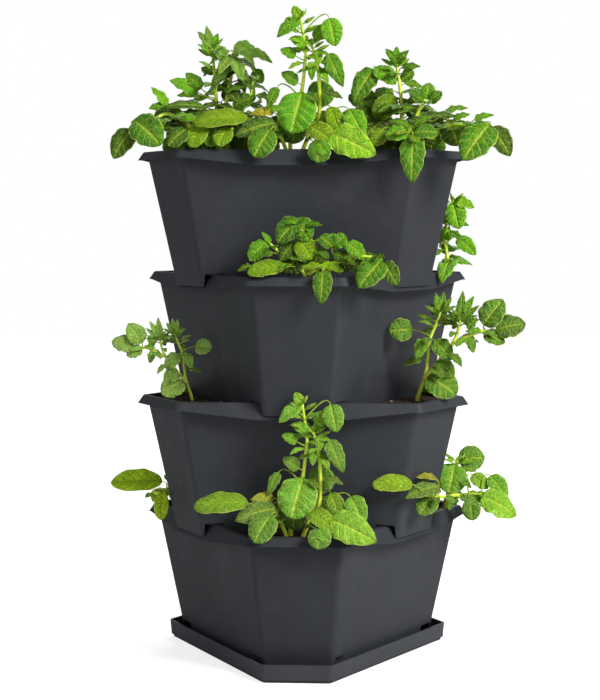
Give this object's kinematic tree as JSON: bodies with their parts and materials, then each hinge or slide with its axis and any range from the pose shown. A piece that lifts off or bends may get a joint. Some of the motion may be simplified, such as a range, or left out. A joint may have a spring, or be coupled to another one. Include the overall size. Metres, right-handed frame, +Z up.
{
  "type": "vertical planter tower",
  "caption": "Stacking tower of sloping hexagonal pots on a drip tray, each turned half a turn from the one below, planted with leafy young plants in the open pockets.",
  "frame": {"origin": "on the floor, on the tower's vertical axis, at the plane of the tray's foot ring", "axes": "+Z up along the tower's axis; the front, with a short side of the tray and of the lowest pot, faces -Y; +X is to the viewer's right"},
  "size_m": [0.503, 0.4121, 0.7609],
  "materials": {
    "pot_plastic": "smooth matte moulded polypropylene, anthracite",
    "tray_plastic": "smooth matte moulded polypropylene, anthracite",
    "potting_mix": "loose moist peat and bark crumbs",
    "stems": "smooth fresh green stem",
    "leaves": "veined, slightly waxy leaf"
  },
  "bodies": {
    "tray": {"tray": "tray_plastic"},
    "tier_1": {"pot_1": "pot_plastic", "potting_mix_1": "potting_mix", "first_front_stems": "stems", "first_front_leaves": "leaves", "first_right_stems": "stems", "first_right_leaves": "leaves", "first_left_stems": "stems", "first_left_leaves": "leaves"},
    "tier_2": {"pot_2": "pot_plastic", "potting_mix_2": "potting_mix", "second_left_stems": "stems", "second_left_leaves": "leaves", "second_right_stems": "stems", "second_right_leaves": "leaves", "second_rear_stems": "stems", "second_rear_leaves": "leaves"},
    "tier_3": {"pot_3": "pot_plastic", "potting_mix_3": "potting_mix", "third_front_stems": "stems", "third_front_leaves": "leaves", "third_right_stems": "stems", "third_right_leaves": "leaves", "third_left_stems": "stems", "third_left_leaves": "leaves"},
    "tier_4": {"pot_4": "pot_plastic", "potting_mix_4": "potting_mix", "top_middle_stems": "stems", "top_middle_leaves": "leaves", "top_right_stems": "stems", "top_right_leaves": "leaves", "top_left_stems": "stems", "top_left_leaves": "leaves", "top_rear_right_stems": "stems", "top_rear_right_leaves": "leaves", "top_rear_left_stems": "stems", "top_rear_left_leaves": "leaves"}
  },
  "joints": [
    {"name": "tier_1_lift", "type": "slide", "parent": "tray", "child": "tier_1", "axis": [0, 0, 1], "range_m": [0, 0.06]},
    {"name": "tier_2_lift", "type": "slide", "parent": "tier_1", "child": "tier_2", "axis": [0, 0, 1], "range_m": [0, 0.2]},
    {"name": "tier_3_lift", "type": "slide", "parent": "tier_2", "child": "tier_3", "axis": [0, 0, 1], "range_m": [0, 0.2]},
    {"name": "tier_4_lift", "type": "slide", "parent": "tier_3", "child": "tier_4", "axis": [0, 0, 1], "range_m": [0, 0.2]}
  ]
}
